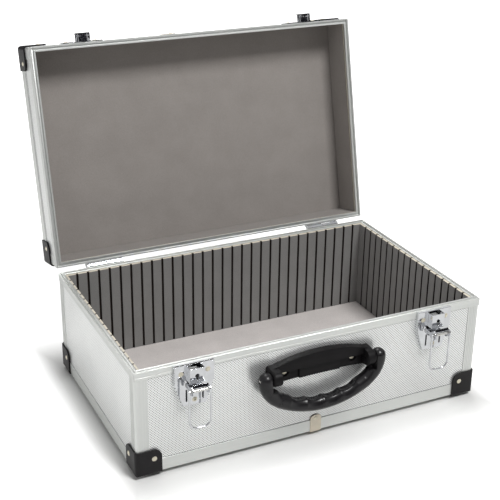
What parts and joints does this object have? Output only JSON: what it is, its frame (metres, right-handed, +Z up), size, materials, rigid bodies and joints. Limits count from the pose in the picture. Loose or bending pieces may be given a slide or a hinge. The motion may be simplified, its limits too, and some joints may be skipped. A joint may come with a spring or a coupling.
{
  "type": "aluminum cd case",
  "caption": "Lidded carrying case of silver boards in aluminium rails, with slotted liners, keyed draw latches, a folding grip and hinges that stop the open lid",
  "frame": {"origin": "On the floor under the middle of the tray, at the height of the feet's undersides", "axes": "+X to the right along the front, +Y from the front to the hinges at the back, +Z up; the lid stands open"},
  "size_m": [0.446, 0.4189, 0.4144],
  "materials": {
    "boards": "satin, embossed",
    "rails": "satin",
    "caps": "satin",
    "rivets": "polished",
    "clips": "satin",
    "latches": "polished",
    "pins": "satin",
    "bracket": "satin",
    "grip": "polished",
    "feet": "matt",
    "slotted_liner": "matt",
    "felt": "matt",
    "lid_lining": "matt"
  },
  "bodies": {
    "base": {"base_front_panel": "boards", "base_back_panel": "boards", "base_left_panel": "boards", "base_right_panel": "boards", "base_bottom_panel": "boards", "base_corner_rails": "rails", "base_bottom_rails": "rails", "base_rim_rails": "rails", "base_corner_caps": "caps", "base_cap_rivets": "rivets", "base_feet": "feet", "base_rail_clip": "clips", "base_clip_rivet": "rivets", "liner_front": "slotted_liner", "liner_back": "slotted_liner", "liner_left": "slotted_liner", "liner_right": "slotted_liner", "floor_felt": "felt", "left_latch_plate": "latches", "right_latch_plate": "latches", "latch_plate_rivets": "rivets", "lock_boxes": "latches", "lever_brackets": "latches", "lever_pins": "pins", "handle_bracket": "bracket", "bracket_rivets": "rivets", "handle_pins": "pins", "base_hinge_leaves": "latches", "hinge_pins": "pins", "base_hinge_rivets": "rivets"},
    "handle": {"handle_grip": "grip"},
    "left_lever": {"left_lever": "latches"},
    "right_lever": {"right_lever": "latches"},
    "left_sleeve": {"left_bail_sleeve": "pins"},
    "right_sleeve": {"right_bail_sleeve": "pins"},
    "left_bail": {"left_bail": "latches"},
    "right_bail": {"right_bail": "latches"},
    "left_bolt": {"left_lock_bolt": "pins"},
    "right_bolt": {"right_lock_bolt": "pins"},
    "lid": {"lid_top_panel": "boards", "lid_front_panel": "boards", "lid_back_panel": "boards", "lid_left_panel": "boards", "lid_right_panel": "boards", "lid_corner_rails": "rails", "lid_top_rails": "rails", "lid_rim_rails": "rails", "lid_corner_caps": "caps", "lid_cap_rivets": "rivets", "lid_rail_clip": "clips", "lid_clip_rivet": "rivets", "lid_top_lining": "lid_lining", "lid_wall_linings": "lid_lining", "left_strike": "latches", "right_strike": "latches", "strike_rivets": "rivets", "lid_hinge_leaves": "latches", "lid_hinge_rivets": "rivets"}
  },
  "joints": [
    {"name": "lid_hinge", "type": "hinge", "parent": "base", "child": "lid", "pos_m": [0, 0.141, 0.13305], "axis": [1, 0, 0], "range_deg": [0, 103]},
    {"name": "handle_swing", "type": "hinge", "parent": "base", "child": "handle", "pos_m": [0, -0.1495, 0.0965], "axis": [-1, 0, 0], "range_deg": [0, 95]},
    {"name": "left_lever_throw", "type": "hinge", "parent": "base", "child": "left_lever", "pos_m": [-0.153, -0.1445, 0.105], "axis": [1, 0, 0], "range_deg": [0, 115]},
    {"name": "left_sleeve_turn", "type": "hinge", "parent": "left_lever", "child": "left_sleeve", "pos_m": [-0.153, -0.15605, 0.10862], "axis": [-1, 0, 0], "range_deg": [0, 115]},
    {"name": "left_bail_swing", "type": "hinge", "parent": "left_sleeve", "child": "left_bail", "pos_m": [-0.153, -0.15605, 0.10862], "axis": [-1, 0, 0], "range_deg": [0, 177.04]},
    {"name": "left_lock", "type": "slide", "parent": "base", "child": "left_bolt", "axis": [1, 0, 0], "range_m": [0, 0.0029]},
    {"name": "right_lever_throw", "type": "hinge", "parent": "base", "child": "right_lever", "pos_m": [0.153, -0.1445, 0.105], "axis": [1, 0, 0], "range_deg": [0, 115]},
    {"name": "right_sleeve_turn", "type": "hinge", "parent": "right_lever", "child": "right_sleeve", "pos_m": [0.153, -0.15605, 0.10862], "axis": [-1, 0, 0], "range_deg": [0, 115]},
    {"name": "right_bail_swing", "type": "hinge", "parent": "right_sleeve", "child": "right_bail", "pos_m": [0.153, -0.15605, 0.10862], "axis": [-1, 0, 0], "range_deg": [0, 177.04]},
    {"name": "right_lock", "type": "slide", "parent": "base", "child": "right_bolt", "axis": [1, 0, 0], "range_m": [0, 0.0029]}
  ],
  "couplings": [
    {"joint": "left_sleeve_turn", "follows": "left_lever_throw", "ratio": 1},
    {"joint": "right_sleeve_turn", "follows": "right_lever_throw", "ratio": 1}
  ]
}
